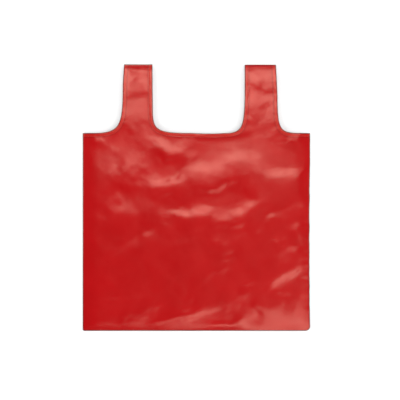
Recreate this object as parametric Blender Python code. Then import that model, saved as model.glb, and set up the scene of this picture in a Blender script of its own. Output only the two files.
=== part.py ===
"""A foldable shopping tote bag, laid out flat with its front face up, built from its sewn pieces.

Frame: metres, +Z up. X runs across the bag and +Y from the bottom seam to the handles. The origin is in the
middle of the outline, on the surface that the bag lies on.

The bag folds in thirds: each side third turns over on a fold line, and each handle turns down on its own side
third. The front sheet's middle third also lifts, which opens the mouth.
"""

import math

import bmesh
import bpy
from mathutils import Vector
from mathutils.geometry import delaunay_2d_cdt

# ---- the outline ----
BAG_WIDTH = 0.420
BODY_HEIGHT = 0.365  # bottom seam to shoulders
HANDLE_RISE = 0.127  # shoulders to handle tops
MOUTH_SAG = 0.001
LEFT_CORNER_RADIUS = 0.003
RIGHT_CORNER_RADIUS = 0.0085

# each handle: x of its edges at the top and where its flares begin, and each flare's reach along X and Y
HANDLES = {
    "left": {
        "outer": (-0.1335, -0.1356),
        "inner": (-0.0814, -0.0805),
        "outer_flare": (0.056, 0.088),
        "inner_flare": (0.072, 0.042),
    },
    "right": {
        "outer": (0.1467, 0.1495),
        "inner": (0.0892, 0.0893),
        "outer_flare": (0.038, 0.068),
        "inner_flare": (0.036, 0.088),
    },
}
FLARE_PULL = 2.0  # how strongly a flare is drawn into its corner
FLARE_STEPS = 10
CORNER_STEPS = 5

# ---- the layers, upwards from the surface ----
CLOTH = 0.0005
GAP = 0.0003  # between pieces that touch
HEM_THICKNESS = 0.0006
HEM_WIDTH = 0.0075
SEAM_THICKNESS = 0.0008
SEAM_WIDTH = 0.0025
FRONT_HIGH = 0.0067  # underside of the front sheet over most of the bag
FLANK = 0.025  # width of the slope down to each sewn edge
HEM_END = 0.005  # hems stop this far from a sewn edge
TOP_SEAM_WIDTH = 0.0095
SEAM_BREAK = 0.001  # between a side seam and the bottom seam's rounded end

# ---- the fold lines and hinge axes ----
FOLD_X = 0.070
HANDLE_FOLD_Y = 0.149
HANDLE_AXIS_Z = 0.0074
LEFT_AXIS_Z = 0.0118
RIGHT_AXIS_Z = 0.0206

# ---- the stow pouch, inside at the lower right, and its press stud ----
POUCH_LEFT = 0.0885
POUCH_RIGHT = 0.1925
POUCH_BOTTOM = -0.205
POUCH_TOP = -0.075
POUCH_CLOTH = 0.0003
POUCH_BACK_Z = 0.0018
POUCH_FRONT_Z = 0.0037
POUCH_SEAM_WIDTH = 0.003
POUCH_TAB = 0.0065  # from the side seam to the pouch's own edge, which the back sheet reaches across
STUD_BELOW_MOUTH = 0.015
STUD_RADIUS = 0.0045
CAP_RADIUS = 0.0055
KNOB_RADIUS = 0.0016
KNOB_CLEARANCE = 0.00035
KNOB_SHORT = 0.0001  # how far the knob stops below the socket's top
STUD_BASE = 0.0002
STUD_CHAMFER = 0.0002
CAP_DOME_RADIUS = 0.0044
CAP_DOME = 0.0004
CAP_CROWN = 0.00003
ROUND_SEGMENTS = 32
ROUND_SHARP = math.radians(35)  # edges steeper than this show as edges on the round pieces

# ---- worked out from those ----
HALF_WIDTH = BAG_WIDTH / 2
TOP_Y = (BODY_HEIGHT + HANDLE_RISE) / 2
BOTTOM_Y = -TOP_Y
SHOULDER_Y = TOP_Y - HANDLE_RISE
SEAM_Z = CLOTH + GAP
FRONT_LOW = SEAM_Z + SEAM_THICKNESS + GAP  # underside of the front sheet at a sewn edge
TOP_SEAM_Y = TOP_Y - TOP_SEAM_WIDTH - GAP  # where the front strap starts to rise from its top seam


def strap_middle(side):
    """The X of the middle of a strap."""
    handle = HANDLES[side]
    return sum(handle["outer"] + handle["inner"]) / 4


PIVOTS = {
    "root": (0.0, 0.0, 0.0),
    "mouth": (0.0, BOTTOM_Y, FRONT_LOW + CLOTH / 2),
    "left_side": (-FOLD_X, 0.0, LEFT_AXIS_Z),
    "right_side": (FOLD_X, 0.0, RIGHT_AXIS_Z),
    "left_handle": (strap_middle("left"), HANDLE_FOLD_Y, HANDLE_AXIS_Z),
    "right_handle": (strap_middle("right"), HANDLE_FOLD_Y, HANDLE_AXIS_Z),
}
PIVOT_PARENTS = {"left_handle": "left_side", "right_handle": "right_side"}


# ---- outline curves ----
def conic(start, corner, end, pull=1.0):
    """A curve from start to end, leaving and arriving along the lines through the corner that draws it in."""
    points = []
    for step in range(FLARE_STEPS + 1):
        t = step / FLARE_STEPS
        a, b, c = (1 - t) ** 2, 2 * pull * t * (1 - t), t * t
        points.append(tuple((a * s + b * m + c * e) / (a + b + c) for s, m, e in zip(start, corner, end)))
    return points


def corner_arc(x, y, radius, first_angle):
    """A quarter circle, anticlockwise, about (x, y)."""
    angles = (first_angle + math.pi / 2 * step / CORNER_STEPS for step in range(CORNER_STEPS + 1))
    return [(x + radius * math.cos(a), y + radius * math.sin(a)) for a in angles]


def strap_edge(side, edge):
    """One edge of a strap, from its top down through its flare to the level of the shoulders."""
    top_x, foot_x = HANDLES[side][edge]
    reach_x, reach_y = HANDLES[side][edge + "_flare"]
    away = math.copysign(1.0, top_x) * (1 if edge == "outer" else -1)
    foot = (foot_x, SHOULDER_Y + reach_y)
    flare = conic(foot, (foot_x, SHOULDER_Y), (foot_x + away * reach_x, SHOULDER_Y), FLARE_PULL)
    return [(top_x, TOP_Y)] + flare


def shoulder_edge(side):
    """The shoulder and the strap's outer edge, from the side of the bag to the strap's top."""
    corner = (math.copysign(HALF_WIDTH, HANDLES[side]["outer"][0]), SHOULDER_Y)
    return [corner] + strap_edge(side, "outer")[::-1]


def mouth_edge():
    """The mouth from the right strap's top to the left strap's top, anticlockwise round the bag."""
    right, left = strap_edge("right", "inner"), strap_edge("left", "inner")
    lowest = ((right[-1][0] + left[-1][0]) / 2, SHOULDER_Y - 2 * MOUTH_SAG)
    sag = conic(right[-1], lowest, left[-1])
    return right + sag[1:-1] + left[::-1]


def bottom_edge():
    """The bottom from its left corner to its right corner, with both corners' rounds."""
    left = corner_arc(
        -HALF_WIDTH + LEFT_CORNER_RADIUS, BOTTOM_Y + LEFT_CORNER_RADIUS, LEFT_CORNER_RADIUS, math.pi
    )
    right = corner_arc(
        HALF_WIDTH - RIGHT_CORNER_RADIUS, BOTTOM_Y + RIGHT_CORNER_RADIUS, RIGHT_CORNER_RADIUS, 1.5 * math.pi
    )
    return left + right


def outline():
    """The whole bag's outline, anticlockwise from its bottom left corner."""
    return bottom_edge() + shoulder_edge("right") + mouth_edge() + shoulder_edge("left")[::-1]


# ---- cutting outlines and edges to their pieces ----
def crossing(a, b, axis, limit):
    share = (limit - a[axis]) / (b[axis] - a[axis])
    return tuple(p + (q - p) * share for p, q in zip(a, b))


def clip(points, axis, low=-math.inf, high=math.inf, closed=True):
    """The part of an outline, or of an open line, between two limits along one axis."""
    for limit, sign in ((low, 1), (high, -1)):
        if math.isinf(limit):
            continue
        kept = []
        for number, point in enumerate(points):
            before = points[number - 1]
            inside, was_inside = (sign * (p[axis] - limit) >= 0 for p in (point, before))
            if inside != was_inside and (closed or number):
                kept.append(crossing(before, point, axis, limit))
            if inside:
                kept.append(point)
        points = kept
    return points


def band(path, width):
    """The outline of a strip along a line, on the line's left-hand side."""
    inner = []
    for number, (x, y) in enumerate(path):
        before, after = path[max(number - 1, 0)], path[min(number + 1, len(path) - 1)]
        dx, dy = after[0] - before[0], after[1] - before[1]
        length = math.hypot(dx, dy)
        inner.append((x - dy / length * width, y + dx / length * width))
    return path + inner[::-1]


# ---- heights ----
def ramp(distance):
    return FRONT_LOW + (FRONT_HIGH - FRONT_LOW) * min(max(distance / FLANK, 0.0), 1.0)


def front_underside(x, y):
    """The front sheet's underside: level, with a slope down to each sewn edge."""
    return min(ramp(HALF_WIDTH - abs(x)), ramp(y - BOTTOM_Y), ramp(TOP_SEAM_Y - y))


def front_hem_underside(x, y):
    return front_underside(x, y) - GAP - HEM_THICKNESS


def level(z):
    return lambda x, y: z


# where the front sheet's slopes begin and meet, as planes: a point and a normal
FRONT_CREASES = [
    ((-HALF_WIDTH + FLANK, 0, 0), (1, 0, 0)),
    ((HALF_WIDTH - FLANK, 0, 0), (1, 0, 0)),
    ((0, BOTTOM_Y + FLANK, 0), (0, 1, 0)),
    ((0, TOP_SEAM_Y - FLANK, 0), (0, 1, 0)),
    ((0, TOP_SEAM_Y, 0), (0, 1, 0)),
    ((-HALF_WIDTH, BOTTOM_Y, 0), (1, -1, 0)),
    ((HALF_WIDTH, BOTTOM_Y, 0), (1, 1, 0)),
]


# ---- making objects ----
def principled(name, colour, roughness, metallic=0.0):
    material = bpy.data.materials.new(name)
    material.use_nodes = True
    shader = material.node_tree.nodes["Principled BSDF"]
    shader.inputs["Base Color"].default_value = (*colour, 1.0)
    shader.inputs["Roughness"].default_value = roughness
    shader.inputs["Metallic"].default_value = metallic
    material.diffuse_color = (*colour, 1.0)
    return material


def finish(name, bm, material, body):
    """Turns a bmesh in world coordinates into an object under its body's pivot."""
    bmesh.ops.recalc_face_normals(bm, faces=bm.faces)
    mesh = bpy.data.meshes.new(name)
    bm.to_mesh(mesh)
    bm.free()
    mesh.materials.append(material)
    piece = bpy.data.objects.new(name, mesh)
    bpy.context.scene.collection.objects.link(piece)
    piece.parent = pivots[body]
    piece.location = [-c for c in PIVOTS[body]]
    return piece


def plate(name, points, underside, thickness, material, body, creases=()):
    """A sheet of one thickness over a flat outline, its underside at the height that a function gives."""
    flat, _, triangles, *_ = delaunay_2d_cdt([Vector(p) for p in points], [], [range(len(points))], 1, 1e-7)
    bm = bmesh.new()
    verts = [bm.verts.new((x, y, 0.0)) for x, y in flat]
    for triangle in triangles:
        bm.faces.new([verts[number] for number in triangle])
    for point, normal in creases:
        everything = bm.verts[:] + bm.edges[:] + bm.faces[:]
        bmesh.ops.bisect_plane(bm, geom=everything, dist=1e-6, plane_co=point, plane_no=normal)
    for vert in bm.verts:
        vert.co.z = underside(vert.co.x, vert.co.y)
    upper = bmesh.ops.extrude_face_region(bm, geom=bm.faces[:])["geom"]
    raised = [v for v in upper if isinstance(v, bmesh.types.BMVert)]
    bmesh.ops.translate(bm, vec=(0, 0, thickness), verts=raised)
    return finish(name, bm, material, body)


def turned(name, profile, centre, material, body):
    """A round piece about a vertical axis, from a closed profile of (radius, height) points."""
    bm = bmesh.new()
    rings = []
    for radius, z in profile:
        if radius == 0.0:
            rings.append([bm.verts.new((centre[0], centre[1], z))])
            continue
        angles = (2 * math.pi * step / ROUND_SEGMENTS for step in range(ROUND_SEGMENTS))
        offsets = [(radius * math.cos(a), radius * math.sin(a)) for a in angles]
        rings.append([bm.verts.new((centre[0] + dx, centre[1] + dy, z)) for dx, dy in offsets])
    for number, ring in enumerate(rings):
        below = rings[number - 1]
        for step in range(ROUND_SEGMENTS):
            after = (step + 1) % ROUND_SEGMENTS
            loop = [below[step % len(below)], below[after % len(below)]]
            loop += [ring[after % len(ring)], ring[step % len(ring)]]
            loop = [v for n, v in enumerate(loop) if v not in loop[:n]]
            if len(loop) > 2:
                bm.faces.new(loop)
    piece = finish(name, bm, material, body)
    piece.data.shade_smooth()
    piece.data.set_sharp_from_angle(angle=ROUND_SHARP)
    return piece


# ---- the bag's pieces ----
def third_limits(part):
    """The X limits of one third of the bag, short of its neighbours by half a gap on each side."""
    edges = {"left": (-math.inf, -FOLD_X), "centre": (-FOLD_X, FOLD_X), "right": (FOLD_X, math.inf)}
    low, high = edges[part]
    return low + GAP / 2, high - GAP / 2


def body_of(part, layer):
    if part == "centre":
        return "mouth" if layer == "front" else "root"
    return part + "_side"


def make_panels():
    """The front and back sheets in thirds, which meet at the fold lines and end below the handles' folds."""
    for part in ("left", "centre", "right"):
        points = clip(clip(outline(), 0, *third_limits(part)), 1, high=HANDLE_FOLD_Y - GAP / 2)
        front_body = body_of(part, "front")
        plate(f"front_panel_{part}", points, front_underside, CLOTH, cloth, front_body, FRONT_CREASES)
        plate(f"back_panel_{part}", points, level(0.0), CLOTH, cloth, body_of(part, "back"))


def make_straps():
    """Each handle's front and back strap above its fold line, and the seam that joins them at the top."""
    for side in HANDLES:
        points = strap_edge(side, "outer")[::-1] + strap_edge(side, "inner")
        points = clip(points, 1, low=HANDLE_FOLD_Y + GAP / 2)
        body = side + "_handle"
        plate(f"{side}_handle_front_strap", points, front_underside, CLOTH, cloth, body, FRONT_CREASES)
        plate(f"{side}_handle_back_strap", points, level(0.0), CLOTH, cloth, body)
        seam = clip(points, 1, low=TOP_Y - TOP_SEAM_WIDTH)
        plate(f"{side}_handle_top_seam", seam, level(SEAM_Z), SEAM_THICKNESS, thread, body)


def make_hem(name, points, body):
    """The turned hem along one edge, as a strip behind the front sheet and one before the back sheet."""
    front_body = "mouth" if body == "root" else body
    front = f"{name}_hem_front"
    plate(front, points, front_hem_underside, HEM_THICKNESS, hem_cloth, front_body, FRONT_CREASES)
    plate(f"{name}_hem_back", points, level(SEAM_Z), HEM_THICKNESS, hem_cloth, body)


def make_hems():
    """The hems of the open edges, cut where the handles and the thirds fold."""
    for side in HANDLES:
        outer = clip(shoulder_edge(side), 0, HEM_END - HALF_WIDTH, HALF_WIDTH - HEM_END, closed=False)
        inner = strap_edge(side, "inner")
        if side == "left":
            outer, inner = outer[::-1], inner[::-1]
        strips = {"outer": band(outer, HEM_WIDTH), "inner": band(inner, HEM_WIDTH)}
        for name, points in strips.items():
            strap = clip(points, 1, HANDLE_FOLD_Y + GAP / 2, TOP_SEAM_Y - HEM_END)
            make_hem(f"{side}_handle_{name}", strap, side + "_handle")
        make_hem(f"{side}_shoulder", clip(strips["outer"], 1, high=HANDLE_FOLD_Y - GAP / 2), side + "_side")
    mouth = clip(band(mouth_edge(), HEM_WIDTH), 1, high=HANDLE_FOLD_Y - GAP / 2)
    for part in ("left", "centre", "right"):
        make_hem(f"mouth_{part}", clip(mouth, 0, *third_limits(part)), body_of(part, "back"))


def make_seams():
    """The sewn edges: a strip of seam allowance between the front and back sheets."""
    bottom = band(bottom_edge(), SEAM_WIDTH)
    for part in ("left", "centre", "right"):
        strip = clip(bottom, 0, *third_limits(part))
        plate(f"bottom_seam_{part}", strip, level(SEAM_Z), SEAM_THICKNESS, thread, body_of(part, "back"))
    left = [(-HALF_WIDTH, SHOULDER_Y), (-HALF_WIDTH, BOTTOM_Y + LEFT_CORNER_RADIUS + SEAM_BREAK)]
    right = [(HALF_WIDTH, BOTTOM_Y + RIGHT_CORNER_RADIUS + SEAM_BREAK), (HALF_WIDTH, SHOULDER_Y)]
    for side, path in (("left", left), ("right", right)):
        strip = band(path, SEAM_WIDTH)
        plate(f"side_seam_{side}", strip, level(SEAM_Z), SEAM_THICKNESS, thread, side + "_side")


def rectangle(left, bottom, right, top):
    return [(left, bottom), (right, bottom), (right, top), (left, top)]


def make_pouch():
    """The stow pouch: two small sheets sewn on three sides, the back one held in the right side seam."""
    body = "right_side"
    tab_end = HALF_WIDTH - POUCH_TAB / 2
    width = POUCH_SEAM_WIDTH
    seam_z = POUCH_BACK_Z + POUCH_CLOTH + GAP
    seam_thickness = POUCH_FRONT_Z - GAP - seam_z
    back = rectangle(POUCH_LEFT, POUCH_BOTTOM, tab_end, POUCH_TOP)
    front = rectangle(POUCH_LEFT, POUCH_BOTTOM, POUCH_RIGHT, POUCH_TOP)
    plate("pouch_back", back, level(POUCH_BACK_Z), POUCH_CLOTH, pouch_cloth, body)
    plate("pouch_front", front, level(POUCH_FRONT_Z), POUCH_CLOTH, pouch_cloth, body)
    seams = {
        "left": rectangle(POUCH_LEFT, POUCH_BOTTOM + width + GAP, POUCH_LEFT + width, POUCH_TOP),
        "right": rectangle(POUCH_RIGHT - width, POUCH_BOTTOM + width + GAP, POUCH_RIGHT, POUCH_TOP),
        "bottom": rectangle(POUCH_LEFT, POUCH_BOTTOM, POUCH_RIGHT, POUCH_BOTTOM + width),
    }
    for name, points in seams.items():
        plate(f"pouch_seam_{name}", points, level(seam_z), seam_thickness, thread, body)


def make_press_stud():
    """The pouch's four-piece press stud, closed: a cap and socket in front, a stud and a cap behind."""
    centre = ((POUCH_LEFT + POUCH_RIGHT) / 2, POUCH_TOP - STUD_BELOW_MOUTH)
    body = "right_side"
    back_cap_top = POUCH_BACK_Z - GAP
    back_cap_low = SEAM_Z
    stud_low = POUCH_BACK_Z + POUCH_CLOTH + GAP
    stud_base_top = stud_low + STUD_BASE
    socket_low = stud_base_top + GAP
    socket_top = POUCH_FRONT_Z - GAP
    knob_top = socket_top - KNOB_SHORT
    hole = KNOB_RADIUS + KNOB_CLEARANCE
    front_cap_low = POUCH_FRONT_Z + POUCH_CLOTH + GAP
    cap_edge = front_cap_low + STUD_CHAMFER
    turned("press_stud_back_cap", [
        (0.0, back_cap_low),
        (CAP_RADIUS - STUD_CHAMFER, back_cap_low),
        (CAP_RADIUS, back_cap_low + STUD_CHAMFER),
        (CAP_RADIUS, back_cap_top),
        (0.0, back_cap_top),
    ], centre, nickel, body)
    turned("press_stud_stud", [
        (0.0, stud_low),
        (STUD_RADIUS, stud_low),
        (STUD_RADIUS, stud_base_top),
        (KNOB_RADIUS - STUD_CHAMFER, stud_base_top),
        (KNOB_RADIUS, knob_top - STUD_CHAMFER),
        (KNOB_RADIUS - STUD_CHAMFER, knob_top),
        (0.0, knob_top),
    ], centre, nickel, body)
    turned("press_stud_socket", [
        (hole, socket_low),
        (STUD_RADIUS, socket_low),
        (STUD_RADIUS, socket_top - STUD_CHAMFER),
        (STUD_RADIUS - STUD_CHAMFER, socket_top),
        (hole, socket_top),
    ], centre, nickel, body)
    turned("press_stud_front_cap", [
        (0.0, front_cap_low),
        (CAP_RADIUS, front_cap_low),
        (CAP_RADIUS, cap_edge),
        (CAP_DOME_RADIUS, cap_edge + CAP_DOME / 2),
        (CAP_DOME_RADIUS / 2, cap_edge + CAP_DOME),
        (0.0, cap_edge + CAP_DOME + CAP_CROWN),
    ], centre, nickel, body)


def make_pivots():
    """An empty on each hinge axis, which the pieces of that body hang from."""
    made = {}
    for name, place in PIVOTS.items():
        pivot = bpy.data.objects.new(f"{name}_pivot", None)
        bpy.context.scene.collection.objects.link(pivot)
        pivot.empty_display_size = 0.02
        parent = PIVOT_PARENTS.get(name)
        origin = (0.0, 0.0, 0.0)
        if parent:
            pivot.parent = made[parent]
            origin = PIVOTS[parent]
        pivot.location = [a - b for a, b in zip(place, origin)]
        made[name] = pivot
    return made


for old in list(bpy.data.objects):
    bpy.data.objects.remove(old, do_unlink=True)

cloth = principled("red_polyester", (0.515, 0.011, 0.013), 0.38)
hem_cloth = principled("red_hem", (0.60, 0.035, 0.030), 0.42)
pouch_cloth = principled("red_pouch_cloth", (0.42, 0.009, 0.012), 0.45)
thread = principled("red_seam_thread", (0.36, 0.008, 0.010), 0.6)
nickel = principled("nickel_press_stud", (0.62, 0.60, 0.57), 0.28, 1.0)

pivots = make_pivots()
make_panels()
make_straps()
make_hems()
make_seams()
make_pouch()
make_press_stud()
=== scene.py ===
"""The looks of the foldable tote bag: thin glossy red taffeta, lying flat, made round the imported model.

Every sheet is triangulated once over the whole bag and cut afterwards, so that neighbouring pieces share
their edges and their shading. Metres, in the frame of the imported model: X across, +Y to the handles, +Z up.
"""

import math

import bpy
import numpy as np
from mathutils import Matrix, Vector
from mathutils.geometry import delaunay_2d_cdt


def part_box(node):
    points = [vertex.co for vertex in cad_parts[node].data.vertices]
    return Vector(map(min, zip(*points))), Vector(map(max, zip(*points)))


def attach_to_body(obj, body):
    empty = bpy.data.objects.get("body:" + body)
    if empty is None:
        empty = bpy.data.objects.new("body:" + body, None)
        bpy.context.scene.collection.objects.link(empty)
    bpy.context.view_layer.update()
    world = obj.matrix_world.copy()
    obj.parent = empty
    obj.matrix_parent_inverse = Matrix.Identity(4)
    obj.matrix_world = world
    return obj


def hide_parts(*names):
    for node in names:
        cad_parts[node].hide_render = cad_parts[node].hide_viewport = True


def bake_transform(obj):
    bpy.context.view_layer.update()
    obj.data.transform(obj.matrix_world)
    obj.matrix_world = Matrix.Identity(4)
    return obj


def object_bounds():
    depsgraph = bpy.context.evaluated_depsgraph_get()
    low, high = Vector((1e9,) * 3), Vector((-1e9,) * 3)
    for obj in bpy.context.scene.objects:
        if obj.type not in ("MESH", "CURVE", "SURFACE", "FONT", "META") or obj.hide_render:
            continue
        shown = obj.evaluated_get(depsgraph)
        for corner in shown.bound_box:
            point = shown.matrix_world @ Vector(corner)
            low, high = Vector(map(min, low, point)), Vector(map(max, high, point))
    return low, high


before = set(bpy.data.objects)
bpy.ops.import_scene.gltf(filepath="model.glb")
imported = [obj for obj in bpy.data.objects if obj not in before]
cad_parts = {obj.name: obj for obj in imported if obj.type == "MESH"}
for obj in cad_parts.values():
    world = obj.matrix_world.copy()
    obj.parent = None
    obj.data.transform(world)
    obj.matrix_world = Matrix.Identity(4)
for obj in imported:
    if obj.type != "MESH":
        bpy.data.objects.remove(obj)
CAD_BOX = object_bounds()

MM = 0.001

# ---- places read from the frame ----
LEFT_X, BOTTOM_Y = CAD_BOX[0].x, CAD_BOX[0].y
RIGHT_X, TOP_Y = CAD_BOX[1].x, CAD_BOX[1].y
SHOULDER_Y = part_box("side_seam_left")[1].y
HANDLE_FOLD_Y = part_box("left_handle_front_strap")[0].y
CAD_TOP_Z = CAD_BOX[1].z
CENTRE_X = (LEFT_X + RIGHT_X) / 2

# ---- the outline's own dimensions ----
# each handle: x of its edges at the top and where its flares begin, and each flare's reach along X and Y
HANDLES = {
    "left": {
        "top": TOP_Y,
        "outer": (-0.1335, -0.1356),
        "inner": (-0.0814, -0.0805),
        "outer_flare": (0.056, 0.088),
        "inner_flare": (0.072, 0.042),
    },
    "right": {
        "top": TOP_Y - 0.8 * MM,
        "outer": (0.1467, 0.1495),
        "inner": (0.0892, 0.0893),
        "outer_flare": (0.038, 0.068),
        "inner_flare": (0.036, 0.088),
    },
}
FLARE_PULL = 2.0  # how strongly a flare is drawn into its corner
MOUTH_SAG = 1.0 * MM
LEFT_CORNER_RADIUS = 3.0 * MM
RIGHT_CORNER_RADIUS = 8.5 * MM
RIGHT_PULL = 1.5 * MM  # how far the tight right seam draws its edge in
PULL_RANGE = (-0.236, 0.060)

# ---- cloth ----
CLOTH = 0.30 * MM
HEM_WIDTH = 7.5 * MM
HEM_EXTRA = 0.45 * MM  # the turned layers under a hem
STITCH_INSET = 6.3 * MM
PLATEAU = 5.85 * MM  # mean height of the front sheet's top
RELIEF = 1.25 * MM  # most that it rises or falls
FRONT_EDGE_Z = 0.80 * MM
FLANK = 30 * MM
CORNER_SLACK = 0.6  # how much wider the bottom's flank is at the right
POUCH_ROOM = 0.35 * MM
EDGE_ROLL = 1.3 * MM  # how far in from a sewn edge the cloth is still turning over
ROLL_RISE = 1.1 * MM  # how much the front sheet rises in that turn
HEM_RISE = 0.30 * MM
GROOVE_DEPTH, GROOVE_HALF = 0.34 * MM, 0.9 * MM  # the line that the hem's stitches pull down
BACK_Z = 0.30 * MM  # lowest underside of the back sheet, which leaves room for its stitches
BACK_LIFT, BACK_RELIEF = 0.55 * MM, 0.5 * MM  # mean rise of the back sheet's creases, and most either way
SEWN_FADE, OPEN_FADE = 22 * MM, 16 * MM  # from an edge to where the front sheet's relief is full
BACK_FADE = 15 * MM
EDGE_SHADE_REACH = 1.6 * MM  # reach of the painted shade at the folded and sewn edges

# ---- mesh ----
EDGE_STEP = 2.2 * MM
GRID = 3.1 * MM
HEM_RINGS = [n * MM for n in (0.5, 1.1, 2.0, 3.6, 5.2, 6.3, 7.2, 8.2, 10.2)]
SEAM_RINGS = [n * MM for n in (0.4, 0.9, 1.5, 2.4, 4.2, 6.5, 9.5)]
PAST_RINGS = 1.5 * MM  # from the last ring to the grid
CLEAR_OF_CUT = 0.9 * MM
CURVE_STEPS, ARC_STEPS = 40, 12
POINTS_AT_ONCE = 4000  # keeps the distance tables small

# ---- where the sheets are cut, beside the handles' fold line ----
CUT_X = 0.055
BEND_HALF = 9 * MM
HANDLE_CUT_Y = HANDLE_FOLD_Y - BEND_HALF


# ---------------------------------------------------------------- plane geometry
def ease(t):
    """0 to 1 with a level start and end."""
    t = np.clip(t, 0, 1)
    return t * t * (3 - 2 * t)


def noise(points, size, seed):
    """Smooth noise from -1 to 1 whose lumps are about size across."""
    lattice = np.random.default_rng(seed).uniform(-1, 1, (64, 64))
    cell = points / size + 31.7
    whole = np.floor(cell).astype(int)
    u, v = ease(cell - whole).T
    i, j = whole.T % 64
    i2, j2 = (i + 1) % 64, (j + 1) % 64
    low = lattice[i, j] * (1 - u) + lattice[i2, j] * u
    high = lattice[i, j2] * (1 - u) + lattice[i2, j2] * u
    return low * (1 - v) + high * v


def conic(start, corner, end, pull=1.0):
    """A curve from start to end, leaving and arriving along the lines through the corner that draws it in."""
    t = np.linspace(0, 1, CURVE_STEPS)[:, None]
    start, corner, end = (np.array(p, float) for p in (start, corner, end))
    a, b, c = (1 - t) ** 2, 2 * pull * t * (1 - t), t**2
    return (a * start + b * corner + c * end) / (a + b + c)


def corner_arc(x, y, radius, first_angle):
    """A quarter circle, anticlockwise, about (x, y)."""
    angles = first_angle + np.linspace(0, math.pi / 2, ARC_STEPS)
    return np.stack([x + radius * np.cos(angles), y + radius * np.sin(angles)], 1)


def resample(path, step):
    """The same line with points an even distance apart, close to step, and both its ends."""
    path = np.array(path, float)
    lengths = np.concatenate([[0], np.cumsum(np.linalg.norm(np.diff(path, axis=0), axis=1))])
    count = max(int(round(lengths[-1] / step)), 1) + 1
    along = np.linspace(0, lengths[-1], count)
    return np.stack([np.interp(along, lengths, path[:, axis]) for axis in (0, 1)], 1)


def strap_edge(side, edge):
    """One edge of a strap, from its top down through its flare to the level of the shoulders."""
    handle = HANDLES[side]
    (top_x, foot_x), (reach_x, reach_y) = handle[edge], handle[edge + "_flare"]
    away = math.copysign(1.0, top_x) * (1 if edge == "outer" else -1)
    foot, corner = (foot_x, SHOULDER_Y + reach_y), (foot_x, SHOULDER_Y)
    flare = conic(foot, corner, (foot_x + away * reach_x, SHOULDER_Y), FLARE_PULL)
    return np.vstack([[(top_x, handle["top"])], flare])


def shoulder_path(side):
    """The shoulder and the strap's outer edge, from the side seam to the strap's top."""
    corner = (RIGHT_X if side == "right" else LEFT_X, SHOULDER_Y)
    return resample(np.vstack([[corner], strap_edge(side, "outer")[::-1]]), EDGE_STEP)


def mouth_path():
    """The mouth, from the right strap's top to the left strap's top."""
    right, left = strap_edge("right", "inner"), strap_edge("left", "inner")
    middle = ((right[-1][0] + left[-1][0]) / 2, SHOULDER_Y - 2 * MOUTH_SAG)
    return resample(np.vstack([right, conic(right[-1], middle, left[-1])[1:-1], left[::-1]]), EDGE_STEP)


def sewn_path():
    """The two sides and the bottom, from the left shoulder round to the right shoulder."""
    radius = LEFT_CORNER_RADIUS
    left = corner_arc(LEFT_X + radius, BOTTOM_Y + radius, radius, math.pi)
    radius = RIGHT_CORNER_RADIUS
    right = corner_arc(RIGHT_X - radius, BOTTOM_Y + radius, radius, 1.5 * math.pi)
    corners = [[(LEFT_X, SHOULDER_Y)], left, right, [(RIGHT_X, SHOULDER_Y)]]
    path = resample(np.vstack(corners), EDGE_STEP)
    low, high = PULL_RANGE
    share = np.clip((path[:, 1] - low) / (high - low), 0, 1)
    notches = noise(path * np.array([0.0, 1.0]), 8 * MM, 22)
    drawn = np.sin(math.pi * share) ** 0.5 * (0.85 + 0.35 * notches)
    path[:, 0] -= np.where(path[:, 0] > RIGHT_X - 0.5 * MM, RIGHT_PULL * drawn, 0)
    return path


def distance_to(points, path):
    """Each point's distance to a line of many segments."""
    a, b = path[:-1], path[1:]
    ab = b - a
    squared = (ab**2).sum(1)
    best = np.full(len(points), np.inf)
    for start in range(0, len(points), POINTS_AT_ONCE):
        p = points[start : start + POINTS_AT_ONCE, None, :]
        t = np.clip(((p - a) * ab).sum(2) / squared, 0, 1)
        squares = (((a + t[..., None] * ab) - p) ** 2).sum(2)
        best[start : start + POINTS_AT_ONCE] = np.sqrt(squares.min(1))
    return best


def offset(path, width):
    """The line moved to its left by width."""
    ahead = np.gradient(path, axis=0)
    ahead /= np.linalg.norm(ahead, axis=1)[:, None]
    return path + width * np.stack([-ahead[:, 1], ahead[:, 0]], 1)


def inside(points, polygon):
    """Which points are inside a closed polygon."""
    x, y = points[:, 0], points[:, 1]
    result = np.zeros(len(points), bool)
    for (x0, y0), (x1, y1) in zip(polygon, np.roll(polygon, -1, axis=0)):
        if y0 != y1:
            crosses = (y0 > y) != (y1 > y)
            result ^= crosses & (x < (x1 - x0) * (y - y0) / (y1 - y0) + x0)
    return result


SEWN = sewn_path()
RIGHT_SHOULDER = shoulder_path("right")
MOUTH = mouth_path()
LEFT_SHOULDER = shoulder_path("left")[::-1]
OPEN_EDGES = [RIGHT_SHOULDER, MOUTH, LEFT_SHOULDER]


def strap_top(side):
    """The top of a handle, from right to left."""
    handle = HANDLES[side]
    ends = sorted((handle["outer"][0], handle["inner"][0]))
    return resample([(ends[1], handle["top"]), (ends[0], handle["top"])], EDGE_STEP)


RIGHT_TOP, LEFT_TOP = strap_top("right")[1:-1], strap_top("left")[1:-1]
OUTLINE = np.vstack([SEWN, RIGHT_SHOULDER[1:], RIGHT_TOP, MOUTH, LEFT_TOP, LEFT_SHOULDER[:-1]])


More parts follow.
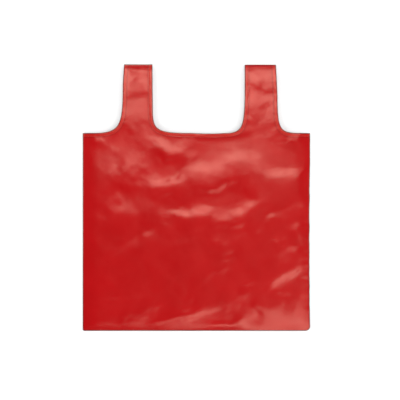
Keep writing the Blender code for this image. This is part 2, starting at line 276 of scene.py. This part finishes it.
# ---------------------------------------------------------------- relief
# soft slopes towards the handles, or towards the bottom where steepness is below zero:
# centre, half width, half height, turn in degrees, and steepness
FALLS = [
    ((-0.192, 0.108), 0.014, 0.006, 0, 0.10),
    ((-0.140, 0.064), 0.018, 0.030, 4, 0.09),
    ((-0.134, -0.012), 0.016, 0.022, 8, 0.12),
    ((-0.030, 0.096), 0.016, 0.012, 10, 0.05),
    ((-0.064, 0.074), 0.020, 0.012, -12, -0.15),
    ((-0.050, 0.034), 0.022, 0.013, 6, 0.22),
    ((-0.046, -0.004), 0.026, 0.010, -8, -0.06),
    ((0.028, 0.062), 0.036, 0.022, 10, 0.08),
    ((0.042, 0.018), 0.034, 0.012, 6, -0.16),
    ((0.002, -0.028), 0.036, 0.015, -8, 0.13),
    ((0.092, -0.020), 0.024, 0.018, 24, 0.13),
    ((0.056, -0.050), 0.040, 0.010, -10, -0.06),
    ((0.120, 0.074), 0.042, 0.024, -8, 0.08),
    ((0.158, 0.040), 0.034, 0.022, 8, 0.12),
    ((0.160, -0.030), 0.034, 0.022, 0, -0.07),
    ((0.198, 0.088), 0.012, 0.020, 20, -0.10),
    ((0.188, -0.078), 0.016, 0.016, -35, -0.10),
    ((0.178, -0.142), 0.034, 0.019, 38, -0.14),
    ((0.110, -0.206), 0.024, 0.020, -44, -0.15),
    ((0.158, -0.178), 0.024, 0.014, 10, 0.09),
    ((-0.020, -0.227), 0.034, 0.010, 18, -0.16),
    ((-0.110, -0.080), 0.030, 0.008, 24, 0.06),
    ((0.052, -0.118), 0.030, 0.010, 20, 0.05),
    ((-0.150, -0.186), 0.040, 0.008, 4, 0.05),
    ((0.050, -0.229), 0.022, 0.012, 0, 0.20),
    ((-0.120, -0.232), 0.060, 0.010, 0, 0.10),
    ((-0.118, 0.231), 0.012, 0.008, 0, -0.22),
    ((-0.106, 0.196), 0.014, 0.009, 10, -0.10),
    ((0.116, 0.200), 0.020, 0.012, -10, -0.06),
]


def falls(points):
    """The sum of the falls, each rising a little, dropping through its centre and rising back."""
    bent = points + 7 * MM * np.stack([noise(points, 26 * MM, 51), noise(points, 26 * MM, 52)], 1)
    bent += 1.6 * MM * np.stack([noise(points, 10 * MM, 53), noise(points, 10 * MM, 54)], 1)
    total = np.zeros(len(points))
    for centre, half_width, half_height, turn, steepness in FALLS:
        angle = math.radians(turn)
        d = bent - np.array(centre)
        u = (d[:, 0] * math.cos(angle) + d[:, 1] * math.sin(angle)) / half_width
        v = (-d[:, 0] * math.sin(angle) + d[:, 1] * math.cos(angle)) / half_height
        total -= steepness * half_height * v * np.exp(-(u**2 + v**2) / 2)
    return total


def crumple(points):
    """The small soft lumps that packing leaves in thin cloth."""
    bent = points + 9 * MM * np.stack([noise(points, 40 * MM, 11), noise(points, 40 * MM, 12)], 1)
    lumps = 0.42 * MM * noise(bent, 34 * MM, 1) + 0.22 * MM * noise(bent, 17 * MM, 2)
    return lumps + 0.15 * MM * noise(bent, 11 * MM, 3) + 0.05 * MM * noise(bent, 5.5 * MM, 4)


def seam_distance(points):
    """Distance to the nearest sewn edge, counting the seams across the handles' tops."""
    return np.minimum(distance_to(points, SEWN), TOP_Y - points[:, 1])


def open_distance(points):
    """Distance to the nearest hemmed edge."""
    return np.min([distance_to(points, edge) for edge in OPEN_EDGES], axis=0)


def hem_shape(points, d_open, seed):
    """The ridge of a turned hem, its stitch groove and the puckers that the thread draws."""
    band = ease((HEM_WIDTH + 1.2 * MM - d_open) / (1.6 * MM))
    groove = np.exp(-(((d_open - STITCH_INSET) / GROOVE_HALF) ** 2))
    puckers = noise(points, 5 * MM, seed) * np.exp(-((d_open / (9 * MM)) ** 2))
    rolled = np.clip(1 - d_open / (1.2 * MM), 0, 1) ** 2
    return HEM_RISE * band - GROOVE_DEPTH * groove + 0.18 * MM * puckers - 0.45 * MM * rolled


def seam_puckers(points, d_sewn):
    """Short creases that run in from the tight right seam."""
    low, high = PULL_RANGE
    tight = ease((points[:, 1] - low) / 0.04) * ease((high - points[:, 1]) / 0.05)
    near = np.exp(-d_sewn / (9 * MM)) * (points[:, 0] > CENTRE_X)
    along = points * np.array([0.35, 1.0])
    return 0.55 * MM * tight * near * noise(along, 7 * MM, 21)


def swell(points):
    """How far the cloth has risen from its sewn edges, from 0 at an edge to 1 at the middle."""
    x, y = points[:, 0], points[:, 1]
    low_flank = FLANK * (1 + CORNER_SLACK * ease((x - 0.075) / 0.04))
    share = np.ones(len(points))
    sides = ((x - LEFT_X, FLANK), (RIGHT_X - x, FLANK), (y - BOTTOM_Y, low_flank), (TOP_Y - y, FLANK))
    for distance, flank in sides:
        share *= 1 - (1 - np.clip(distance / flank, 0, 1)) ** 2
    return share


def near_node(points, node, spread):
    """1 over a CAD node's box, easing to 0 at 1.3 times the spread beyond it."""
    low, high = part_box(node)
    middle, half = np.array((low + high) / 2), np.array((high - low) / 2)
    outside = np.maximum(abs(points - middle[:2]) - half[:2], 0)
    return ease(1.3 - np.linalg.norm(outside, axis=1) / spread)


def over_pouch(points):
    """The least height of the front sheet's top, so that it clears the pouch and the press stud."""
    least = np.zeros(len(points))
    for node, spread in (("pouch_front", 8 * MM), ("press_stud_front_cap", 14 * MM)):
        reach = near_node(points, node, spread)
        least = np.maximum(least, (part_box(node)[1].z + CLOTH + POUCH_ROOM) * reach)
    return least


def front_height(points):
    """The top of the front sheet."""
    d_seam, d_open = seam_distance(points), open_distance(points)
    rolled = ROLL_RISE * np.sqrt(1 - (1 - np.clip(d_seam / EDGE_ROLL, 0, 1)) ** 2)
    rise = (PLATEAU - FRONT_EDGE_Z - ROLL_RISE) * swell(points)
    free = ease(d_seam / SEWN_FADE) * (0.45 + 0.55 * ease(d_open / OPEN_FADE))
    relief = RELIEF * np.tanh((falls(points) + crumple(points)) / RELIEF)
    shape = rolled + rise + relief * free
    shape += hem_shape(points, d_open, 31) * ease(d_seam / (3 * MM))
    shape += seam_puckers(points, d_seam) * ease(d_seam / (1.5 * MM))
    short = over_pouch(points) - (FRONT_EDGE_Z + shape)
    shape += (short + np.sqrt(short**2 + (0.3 * MM) ** 2)) / 2
    return np.minimum(FRONT_EDGE_Z + shape, CAD_TOP_Z)


def back_height(points):
    """The underside of the back sheet."""
    d_seam, d_open = seam_distance(points), open_distance(points)
    mirrored = points * np.array([-1.0, 1.0])
    creases = crumple(mirrored) + 0.5 * falls(mirrored + 0.03)
    lift = BACK_LIFT + BACK_RELIEF * np.tanh(creases / (0.6 * MM))
    lift *= 1 - near_node(points, "press_stud_back_cap", 10 * MM)  # the sheet lies flat under the stud
    rolled = 0.05 * MM * (1 - np.clip(d_seam / EDGE_ROLL, 0, 1)) ** 2
    return BACK_Z + rolled + lift * ease(d_seam / BACK_FADE) * (0.4 + 0.6 * ease(d_open / BACK_FADE))


# ---------------------------------------------------------------- the triangulated bag
def bag_points():
    """Points over the whole bag: rows along every edge and a jittered grid between them."""
    rows = []
    for width in HEM_RINGS:
        rows += [offset(edge, width) for edge in OPEN_EDGES]
    rows += [offset(SEWN, width) for width in SEAM_RINGS]
    xs = np.arange(LEFT_X, RIGHT_X, GRID)
    ys = np.arange(BOTTOM_Y, TOP_Y, GRID)
    grid = np.stack(np.meshgrid(xs, ys), -1).reshape(-1, 2)
    grid += np.random.default_rng(5).uniform(-0.22, 0.22, grid.shape) * GRID
    near_open, near_sewn = open_distance(grid), distance_to(grid, SEWN)
    past_hems = near_open > HEM_RINGS[-1] + PAST_RINGS
    grid = grid[past_hems & (near_sewn > SEAM_RINGS[-1] + PAST_RINGS)]
    points = np.vstack(rows + [grid])
    points = points[inside(points, OUTLINE)]
    clear = (open_distance(points) > 0.45 * MM) & (distance_to(points, SEWN) > 0.35 * MM)
    clear &= TOP_Y - points[:, 1] > 1.2 * MM
    for cut in (-CUT_X, 0.0, CUT_X):
        clear &= abs(points[:, 0] - cut) > CLEAR_OF_CUT
    clear &= abs(points[:, 1] - HANDLE_CUT_Y) > CLEAR_OF_CUT
    return points[clear]


def cut_lines():
    """The lines that the sheets are cut along, as rows of points from edge to edge."""
    lines = []
    for x in (-CUT_X, 0.0, CUT_X):
        top = MOUTH[np.argmin(abs(MOUTH[:, 0] - x))][1]
        lines.append(resample([(x, BOTTOM_Y), (x, top)], EDGE_STEP))
    for side in HANDLES:
        paths = [strap_edge(side, edge) for edge in ("outer", "inner")]
        ends = sorted(np.interp(HANDLE_CUT_Y, p[::-1, 1], p[::-1, 0]) for p in paths)
        lines.append(resample([(ends[0], HANDLE_CUT_Y), (ends[1], HANDLE_CUT_Y)], EDGE_STEP))
    return lines


def triangulate(outline, points, lines=()):
    """Triangles inside an outline, through the points, with edges along the lines."""
    coords, edges, start = [outline], [], len(outline)
    for line in lines:
        inner = line[1:-1]
        edges += [(start + n, start + n + 1) for n in range(len(inner) - 1)]
        coords.append(inner)
        start += len(inner)
    coords.append(points)
    every = [Vector(p) for p in np.vstack(coords)]
    flat, _, triangles, *_ = delaunay_2d_cdt(every, edges, [list(range(len(outline)))], 1, 1e-7)
    return np.array([tuple(p) for p in flat]), np.array([tuple(t) for t in triangles])


def vertex_normals(coords, triangles):
    """Each point's normal, as the mean of its triangles' weighted by their areas."""
    corners = coords[triangles]
    across = np.cross(corners[:, 1] - corners[:, 0], corners[:, 2] - corners[:, 0])
    normals = np.zeros_like(coords)
    for k in range(3):
        np.add.at(normals, triangles[:, k], across)
    return normals / np.maximum(np.linalg.norm(normals, axis=1), 1e-12)[:, None]


def new_object(name, mesh, material):
    """A mesh as a piece in the scene, with its material."""
    mesh.materials.append(material)
    piece = bpy.data.objects.new(name, mesh)
    bpy.context.scene.collection.objects.link(piece)
    return piece


def shell(name, flat, triangles, low, high, low_normals, high_normals, material, tones):
    """A closed thin sheet between two heights, shaded with normals of the whole uncut sheet."""
    used, faces = np.unique(triangles, return_inverse=True)
    faces = faces.reshape(-1, 3)
    count = len(used)
    upper = np.column_stack([flat[used], high[used]])
    lower = np.column_stack([flat[used], low[used]])
    directed = {(a, b) for t in faces.tolist() for a, b in zip(t, t[1:] + t[:1])}
    rim = [(a, b) for a, b in sorted(directed) if (b, a) not in directed]
    walls = [(b, a, a + count, b + count) for a, b in rim]
    polygons = faces.tolist() + (faces[:, ::-1] + count).tolist() + walls
    mesh = bpy.data.meshes.new(name)
    mesh.from_pydata(np.vstack([upper, lower]).tolist(), [], polygons)
    mesh.shade_smooth()
    wall_normals = {}
    for a, b in rim:
        ahead = upper[b] - upper[a]
        outward = np.array([ahead[1], -ahead[0], 0.0])
        for end in (a, b):
            wall_normals[end] = wall_normals.get(end, 0) + outward / np.linalg.norm(outward)
    normals = [high_normals[used[v]] for t in faces for v in t]
    normals += [-low_normals[used[v]] for t in faces for v in t[::-1]]
    for wall in walls:
        for v in wall:
            n = wall_normals[v % count]
            normals.append(n / max(np.linalg.norm(n), 1e-9))
    mesh.normals_split_custom_set([tuple(n) for n in normals])
    for tone, values in tones.items():
        attribute = mesh.attributes.new(tone, "FLOAT", "POINT")
        attribute.data.foreach_set("value", np.tile(values[used], 2).astype(np.float32))
    return new_object(name, mesh, material)


# ---------------------------------------------------------------- materials
def nodes_of(name):
    """A new material, its tree and its shader."""
    material = bpy.data.materials.new(name)
    material.use_nodes = True
    tree = material.node_tree
    return material, tree, tree.nodes["Principled BSDF"]


def add(tree, kind, **inputs):
    """A new shader node with its inputs set."""
    node = tree.nodes.new(kind)
    for key, value in inputs.items():
        node.inputs[key.replace("_", " ")].default_value = value
    return node


PAINTED_EDGE_SHADE_COLOUR = (0.07, 0.0010, 0.0035)  # painted shade: the dark line where the cloth turns down at its folded or sewn edges
HEM_COLOUR = (0.52, 0.019, 0.013)  # where light comes back from the turned layers of a hem
WEAVE = 0.35 * MM
GLOSS_SPREAD = 0.03
CLOTH_SPECULAR = 0.62
CLOTH_SPECULAR_TINT = (1.0, 0.56, 0.44, 1)  # warms the light that the cloth reflects


def taffeta(name, deep, bright, roughness):
    """Thin glossy plain weave: two close tones, uneven gloss, and the threads' own bump."""
    material, tree, shader = nodes_of(name)
    link = tree.links.new
    place = add(tree, "ShaderNodeTexCoord")
    dye = add(tree, "ShaderNodeTexNoise", Scale=16.0, Detail=4.0, Roughness=0.6)
    link(place.outputs["Object"], dye.inputs["Vector"])
    ramp = tree.nodes.new("ShaderNodeValToRGB")
    ramp.color_ramp.elements[0].position, ramp.color_ramp.elements[1].position = 0.34, 0.68
    ramp.color_ramp.elements[0].color = (*deep, 1)
    ramp.color_ramp.elements[1].color = (*bright, 1)
    link(dye.outputs["Fac"], ramp.inputs["Fac"])
    colour = ramp.outputs["Color"]
    # the hem tone lightens the turned layers of a hem; the edge tone is painted shade along the edges and hem
    # lines
    for tone, tone_colour in (("hem", HEM_COLOUR), ("edge", PAINTED_EDGE_SHADE_COLOUR)):
        amount = tree.nodes.new("ShaderNodeAttribute")
        amount.attribute_name = tone
        mix = tree.nodes.new("ShaderNodeMix")
        mix.data_type = "RGBA"
        link(amount.outputs["Fac"], mix.inputs["Factor"])
        link(colour, mix.inputs["A"])
        mix.inputs["B"].default_value = (*tone_colour, 1)
        colour = mix.outputs["Result"]
    link(colour, shader.inputs["Base Color"])
    gloss = add(tree, "ShaderNodeTexNoise", Scale=34.0, Detail=3.0)
    link(place.outputs["Object"], gloss.inputs["Vector"])
    spread = tree.nodes.new("ShaderNodeMapRange")
    spread.inputs["To Min"].default_value = roughness - GLOSS_SPREAD
    spread.inputs["To Max"].default_value = roughness + GLOSS_SPREAD
    link(gloss.outputs["Fac"], spread.inputs["Value"])
    link(spread.outputs["Result"], shader.inputs["Roughness"])
    height = None
    for direction in ("X", "Y"):
        threads = add(tree, "ShaderNodeTexWave", Scale=math.pi / (10 * WEAVE), Distortion=0.6)
        threads.bands_direction = direction
        link(place.outputs["Object"], threads.inputs["Vector"])
        if height is None:
            height = threads.outputs["Fac"]
        else:
            both = tree.nodes.new("ShaderNodeMath")
            both.operation = "ADD"
            link(height, both.inputs[0])
            link(threads.outputs["Fac"], both.inputs[1])
            height = both.outputs[0]
    weave_bump = add(tree, "ShaderNodeBump", Strength=0.16, Distance=0.05 * MM)
    link(height, weave_bump.inputs["Height"])
    creases = add(tree, "ShaderNodeTexNoise", Scale=62.0, Detail=3.0, Roughness=0.55)
    link(place.outputs["Object"], creases.inputs["Vector"])
    crease_bump = add(tree, "ShaderNodeBump", Strength=0.25, Distance=0.4 * MM)
    link(creases.outputs["Fac"], crease_bump.inputs["Height"])
    link(weave_bump.outputs["Normal"], crease_bump.inputs["Normal"])
    link(crease_bump.outputs["Normal"], shader.inputs["Normal"])
    shader.inputs["Specular IOR Level"].default_value = CLOTH_SPECULAR
    shader.inputs["Specular Tint"].default_value = CLOTH_SPECULAR_TINT
    return material


def twisted_thread(name, deep, bright):
    """Sewing thread: two tones in close diagonal bands."""
    material, tree, shader = nodes_of(name)
    place = add(tree, "ShaderNodeTexCoord")
    twist = add(tree, "ShaderNodeTexWave", Scale=260.0, Distortion=1.5)
    twist.bands_direction = "DIAGONAL"
    tree.links.new(place.outputs["Object"], twist.inputs["Vector"])
    ramp = tree.nodes.new("ShaderNodeValToRGB")
    ramp.color_ramp.elements[0].color = (*deep, 1)
    ramp.color_ramp.elements[1].color = (*bright, 1)
    tree.links.new(twist.outputs["Fac"], ramp.inputs["Fac"])
    tree.links.new(ramp.outputs["Color"], shader.inputs["Base Color"])
    bump = add(tree, "ShaderNodeBump", Strength=0.4, Distance=0.05 * MM)
    tree.links.new(twist.outputs["Fac"], bump.inputs["Height"])
    tree.links.new(bump.outputs["Normal"], shader.inputs["Normal"])
    shader.inputs["Roughness"].default_value = 0.5
    return material


def worn_nickel(name):
    """Nickel plate with its gloss rubbed unevenly."""
    material, tree, shader = nodes_of(name)
    place = add(tree, "ShaderNodeTexCoord")
    rubbed = add(tree, "ShaderNodeTexNoise", Scale=900.0, Detail=4.0)
    tree.links.new(place.outputs["Object"], rubbed.inputs["Vector"])
    spread = tree.nodes.new("ShaderNodeMapRange")
    spread.inputs["To Min"].default_value = 0.18
    spread.inputs["To Max"].default_value = 0.42
    tree.links.new(rubbed.outputs["Fac"], spread.inputs["Value"])
    tree.links.new(spread.outputs["Result"], shader.inputs["Roughness"])
    shader.inputs["Base Color"].default_value = (0.62, 0.60, 0.57, 1)
    shader.inputs["Metallic"].default_value = 1.0
    return material


CLOTH_LOOK = taffeta("red_taffeta", (0.418, 0.0029, 0.0046), (0.460, 0.0042, 0.0062), 0.215)
POUCH_LOOK = taffeta("red_pouch_taffeta", (0.40, 0.0030, 0.0046), (0.44, 0.0044, 0.0060), 0.29)
THREAD_LOOK = twisted_thread("red_thread", (0.26, 0.004, 0.006), (0.48, 0.02, 0.02))
NICKEL_LOOK = worn_nickel("worn_nickel")


# ---------------------------------------------------------------- tubes: stitches and seam edges
END_TAPER = 0.45


def tubes(name, runs, material, half_width, half_height, sides=6):
    """Closed tubes, each along its own row of 3-D points and tapering at its ends."""
    coords, polygons = [], []
    turns = [2 * math.pi * n / sides for n in range(sides)]
    for run in runs:
        run = np.array(run, float)
        ahead = np.gradient(run, axis=0)
        ahead /= np.linalg.norm(ahead, axis=1)[:, None]
        across = np.stack([-ahead[:, 1], ahead[:, 0], np.zeros(len(run))], 1)
        across /= np.linalg.norm(across, axis=1)[:, None]
        up = np.cross(ahead, across)
        first = len(coords)
        for n, point in enumerate(run):
            taper = END_TAPER if n in (0, len(run) - 1) else 1.0
            for turn in turns:
                wide = half_width * taper * math.cos(turn)
                tall = half_height * taper * math.sin(turn)
                coords.append(point + across[n] * wide + up[n] * tall)
        for n in range(len(run) - 1):
            a = first + n * sides
            for k in range(sides):
                k2 = (k + 1) % sides
                polygons.append((a + k, a + k2, a + sides + k2, a + sides + k)[::-1])
        last = first + (len(run) - 1) * sides
        polygons.append(tuple(first + k for k in range(sides)))
        polygons.append(tuple(last + k for k in reversed(range(sides))))
    mesh = bpy.data.meshes.new(name)
    mesh.from_pydata([tuple(c) for c in coords], [], polygons)
    mesh.shade_smooth()
    return new_object(name, mesh, material)


STITCH, STITCH_GAP, STITCH_POINTS = 2.0 * MM, 1.0 * MM, 4
THREAD_RADIUS = 0.16 * MM
THREAD_LIFT = 0.8  # of its radius, how far a stitch stands off the cloth
TOP_STITCHES = (3 * MM, 8 * MM)  # from the top of a strap
BEAD_HALF_WIDTH, BEAD_HALF_HEIGHT, BEAD_SIDES = 0.85 * MM, 0.28 * MM, 10
BEAD_Z = 0.55 * MM
BEAD_INSET, TOP_BEAD_INSET = 0.9 * MM, 1.0 * MM


def stitch_runs(path, height, lift):
    """Separate stitches along a line, each dipping into the cloth at its ends."""
    lengths = np.concatenate([[0], np.cumsum(np.linalg.norm(np.diff(path, axis=0), axis=1))])
    starts = np.arange(STITCH_GAP, lengths[-1] - STITCH, STITCH + STITCH_GAP)
    along = (starts[:, None] + np.linspace(0, STITCH, STITCH_POINTS)).ravel()
    flat = np.stack([np.interp(along, lengths, path[:, axis]) for axis in (0, 1)], 1)
    dip = np.tile(np.sin(np.linspace(0, math.pi, STITCH_POINTS)), len(starts)) - 0.6
    z = height(flat) + lift + dip * THREAD_RADIUS * math.copysign(1, lift)
    return np.column_stack([flat, z]).reshape(-1, STITCH_POINTS, 3)


# ---------------------------------------------------------------- regions and what they ride on
def region_of(x, y):
    """Which piece of a sheet a place belongs to."""
    if y > HANDLE_CUT_Y:
        return "left_handle" if x < CENTRE_X else "right_handle"
    if abs(x) > CUT_X:
        return "left" if x < 0 else "right"
    return "mid_left" if x < 0 else "mid_right"


def attach(piece, region, layer):
    """Bakes a piece's place into its mesh, or, for a middle piece of the back sheet, sets it to ride on the
    root body.
    """
    if region in ("left", "right"):
        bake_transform(piece)
    elif region.endswith("_handle"):
        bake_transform(piece)
    elif layer == "back":
        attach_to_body(piece, "root")
    else:
        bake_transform(piece)


def replaced_nodes(region, layer):
    """The CAD nodes that a piece of cloth stands for."""
    if region.endswith("_handle"):
        kinds = (f"{layer}_strap", f"outer_hem_{layer}", f"inner_hem_{layer}")
        return [f"{region}_{kind}" for kind in kinds]
    if region in ("left", "right"):
        return [f"{layer}_panel_{region}", f"{region}_shoulder_hem_{layer}", f"mouth_{region}_hem_{layer}"]
    return [f"{layer}_panel_centre", f"mouth_centre_hem_{layer}"]


PIECE_NAMES = {
    "left": "side_left",
    "right": "side_right",
    "mid_left": "middle_left",
    "mid_right": "middle_right",
    "left_handle": "strap_left",
    "right_handle": "strap_right",
    "middle": "middle",
}


def make_sheet(layer, flat, triangles, d_open):
    """One of the bag's two sheets, in pieces cut by region, with its stitches."""
    height = front_height if layer == "front" else back_height
    surface = height(flat)
    thickness = CLOTH + HEM_EXTRA * (d_open < HEM_WIDTH)
    if layer == "front":
        low, high = surface - thickness, surface
    else:
        low, high = surface, surface + thickness
    normals = [vertex_normals(np.column_stack([flat, z]), triangles) for z in (low, high)]
    middles = flat[triangles].mean(axis=1)
    regions = np.array([region_of(x, y) for x, y in middles])
    if layer == "back":
        regions[np.isin(regions, ("mid_left", "mid_right"))] = "middle"
    d_edge = np.minimum(d_open, seam_distance(flat))
    # painted shade: a dark line along every edge, and a fainter painted shadow along the inner edge of each
    # hem
    painted_edge_shade = np.exp(-((d_edge / EDGE_SHADE_REACH) ** 2))
    painted_hem_shadow = np.exp(-(((d_open - HEM_WIDTH) / MM) ** 2))
    tones = {
        "edge": painted_edge_shade + 0.3 * painted_hem_shadow,
        "hem": ease((HEM_WIDTH - d_open) / (1.0 * MM)) * (0.75 + 0.25 * noise(flat, 45 * MM, 61)),
    }
    stitches = {}
    lift = THREAD_RADIUS * (THREAD_LIFT if layer == "front" else -THREAD_LIFT)
    rows = [offset(edge, STITCH_INSET) for edge in OPEN_EDGES]
    for side in HANDLES:
        rows += [strap_top(side) - np.array([0, inset]) for inset in TOP_STITCHES]
    for row in rows:
        for run in stitch_runs(resample(row, 1.0 * MM), height, lift):
            middle = run.mean(axis=0)
            region = region_of(middle[0], middle[1])
            region = "middle" if layer == "back" and region.startswith("mid_") else region
            if inside(run[:, :2], OUTLINE).all():
                stitches.setdefault(region, []).append(run)
    for region in sorted(set(regions)):
        chosen = triangles[regions == region]
        name = f"{layer}_cloth_{PIECE_NAMES[region]}"
        piece = shell(name, flat, chosen, low, high, *normals, CLOTH_LOOK, tones)
        attach(piece, region, layer)
        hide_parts(*replaced_nodes(region, layer))
        thread_name = f"{layer}_stitches_{PIECE_NAMES[region]}"
        thread = tubes(thread_name, stitches[region], THREAD_LOOK, THREAD_RADIUS, THREAD_RADIUS)
        attach(thread, region, layer)


def make_seams():
    """The sewn edges: a rounded overlocked bead between the two sheets, and the seams across the straps."""
    path = offset(SEWN, BEAD_INSET)
    bead_size = (BEAD_HALF_WIDTH, BEAD_HALF_HEIGHT, BEAD_SIDES)
    cuts = {
        "side_seam_edge_left": (path[:, 0] < LEFT_X + 2 * MM) & (path[:, 1] > BOTTOM_Y + 5 * MM),
        "side_seam_edge_right": (path[:, 0] > RIGHT_X - 4 * MM) & (path[:, 1] > BOTTOM_Y + 11 * MM),
    }
    bottom = ~cuts["side_seam_edge_left"] & ~cuts["side_seam_edge_right"]
    cuts["bottom_seam_edge_left"] = bottom & (path[:, 0] <= -CUT_X)
    cuts["bottom_seam_edge_middle"] = bottom & (abs(path[:, 0]) <= CUT_X + EDGE_STEP)
    cuts["bottom_seam_edge_right"] = bottom & (path[:, 0] >= CUT_X)
    for name, chosen in cuts.items():
        run = np.column_stack([path[chosen], np.full(chosen.sum(), BEAD_Z)])
        bead = tubes(name, [run], THREAD_LOOK, *bead_size)
        side = name.rsplit("_", 1)[1]
        if name.startswith("side"):
            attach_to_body(bead, side + "_side")
            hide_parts(f"side_seam_{side}")
        else:
            attach(bead, side, "back")
            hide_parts(f"bottom_seam_{'centre' if side == 'middle' else side}")
    for side in HANDLES:
        top = strap_top(side) - np.array([0, TOP_BEAD_INSET])
        run = np.column_stack([top, np.full(len(top), BEAD_Z)])[1:-1]
        bead = tubes(f"strap_top_seam_{side}", [run], THREAD_LOOK, *bead_size)
        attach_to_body(bead, side + "_handle")
        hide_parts(f"{side}_handle_top_seam")


def make_pouch():
    """The stow pouch inside: two small sheets, a little rumpled, with sewn edges and a metal press stud."""
    for layer in ("back", "front"):
        low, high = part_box(f"pouch_{layer}")
        corners = [(low.x, low.y), (high.x, low.y), (high.x, high.y), (low.x, high.y)]
        outline = resample(corners + corners[:1], EDGE_STEP)[:-1]
        spans = ((low.x, high.x), (low.y, high.y))
        xs, ys = (np.arange(a + GRID, b - GRID / 2, GRID) for a, b in spans)
        grid = np.stack(np.meshgrid(xs, ys), -1).reshape(-1, 2)
        grid += np.random.default_rng(8).uniform(-0.2, 0.2, grid.shape) * GRID
        flat, triangles = triangulate(outline, grid)
        z = low.z + 0.14 * MM * noise(flat, 12 * MM, 41 + len(layer))
        upper = z + (high.z - low.z) * 0.8
        normals = [vertex_normals(np.column_stack([flat, h]), triangles) for h in (z, upper)]
        tones = {"edge": np.zeros(len(flat)), "hem": ease((flat[:, 1] - high.y + 10 * MM) / (1 * MM))}
        piece = shell(f"pouch_cloth_{layer}", flat, triangles, z, upper, *normals, POUCH_LOOK, tones)
        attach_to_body(piece, "right_side")
        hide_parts(f"pouch_{layer}")
    for part in ("left", "right", "bottom"):
        low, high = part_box(f"pouch_seam_{part}")
        middle = (low + high) / 2
        ends = [(middle.x, low.y), (middle.x, high.y)]
        if part == "bottom":
            ends = [(low.x, middle.y), (high.x, middle.y)]
        path = resample(ends, EDGE_STEP)
        run = np.column_stack([path, np.full(len(path), middle.z)])
        half = min(high.x - low.x, high.y - low.y) / 2
        bead = tubes(f"pouch_edge_{part}", [run], THREAD_LOOK, half, (high.z - low.z) * 0.45, sides=12)
        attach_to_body(bead, "right_side")
        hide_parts(f"pouch_seam_{part}")
    for part in ("back_cap", "stud", "socket", "front_cap"):
        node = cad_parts[f"press_stud_{part}"]
        node.data.materials.clear()
        node.data.materials.append(NICKEL_LOOK)


# ---------------------------------------------------------------- floor, light and camera
FLOOR_HALF = 4.0
FLOOR_Z = -0.1 * MM
WORLD_STRENGTH = 0.06
LIGHTS = [  # name, place, size and watts
    ("key_softbox", (0.06, 0.98, 2.9), (1.0, 1.3), 33),
    ("near_softbox", (0.70, -1.08, 2.7), (1.6, 0.7), 20),
    ("left_fill", (-2.4, 0.3, 1.15), (1.1, 1.1), 32),
    ("right_fill", (2.4, 0.3, 1.15), (1.1, 1.1), 32),
    ("near_fill", (0.0, -2.4, 1.15), (1.6, 1.0), 26),
    ("far_fill", (0.0, 2.5, 1.15), (1.6, 1.0), 20),
]


def area_light(name, place, size, power):
    """A rectangular light aimed at the middle of the bag."""
    lamp = bpy.data.lights.new(name, "AREA")
    lamp.shape = "RECTANGLE"
    lamp.size, lamp.size_y = size
    lamp.energy = power
    obj = bpy.data.objects.new(name, lamp)
    bpy.context.scene.collection.objects.link(obj)
    obj.location = place
    obj.rotation_euler = (Vector((0, 0, 0)) - Vector(place)).to_track_quat("-Z", "Y").to_euler()


def make_stage():
    """The plain pale floor."""
    material, tree, shader = nodes_of("pale_floor")
    place = add(tree, "ShaderNodeTexCoord")
    grain = add(tree, "ShaderNodeTexNoise", Scale=3.0, Detail=2.0)
    tree.links.new(place.outputs["Object"], grain.inputs["Vector"])
    ramp = tree.nodes.new("ShaderNodeValToRGB")
    ramp.color_ramp.elements[0].color = (0.93, 0.93, 0.93, 1)
    ramp.color_ramp.elements[1].color = (0.95, 0.95, 0.95, 1)
    tree.links.new(grain.outputs["Fac"], ramp.inputs["Fac"])
    tree.links.new(ramp.outputs["Color"], shader.inputs["Base Color"])
    shader.inputs["Roughness"].default_value = 0.9
    shader.inputs["Specular IOR Level"].default_value = 0.1
    mesh = bpy.data.meshes.new("floor")
    signs = ((-1, -1), (1, -1), (1, 1), (-1, 1))
    corners = [(x * FLOOR_HALF, y * FLOOR_HALF, FLOOR_Z) for x, y in signs]
    mesh.from_pydata(corners, [], [(0, 1, 2, 3)])
    floor = new_object("floor", mesh, material)


def make_light():
    """The soft studio light."""
    world = bpy.data.worlds.new("studio")
    world.use_nodes = True
    world.node_tree.nodes["Background"].inputs["Color"].default_value = (1, 1, 1, 1)
    world.node_tree.nodes["Background"].inputs["Strength"].default_value = WORLD_STRENGTH
    bpy.context.scene.world = world
    for light in LIGHTS:
        area_light(*light)
    bpy.context.scene.view_settings.view_transform = "Standard"


VIEW_WIDTH = 0.7392  # width of the view where the bag lies
VIEW_CENTRE = (6.6 * MM, -4.4 * MM)
LENS = 100.0


def make_camera():
    """The photo's camera, straight above."""
    data = bpy.data.cameras.new("camera")
    data.lens = LENS
    camera = bpy.data.objects.new("camera", data)
    bpy.context.scene.collection.objects.link(camera)
    camera.location = (*VIEW_CENTRE, VIEW_WIDTH * LENS / data.sensor_width)
    bpy.context.scene.camera = camera


make_camera()
make_stage()
make_light()
bag_flat, bag_triangles = triangulate(OUTLINE, bag_points(), cut_lines())
bag_open = open_distance(bag_flat)
for sheet_layer in ("back", "front"):
    make_sheet(sheet_layer, bag_flat, bag_triangles, bag_open)
make_seams()
make_pouch()
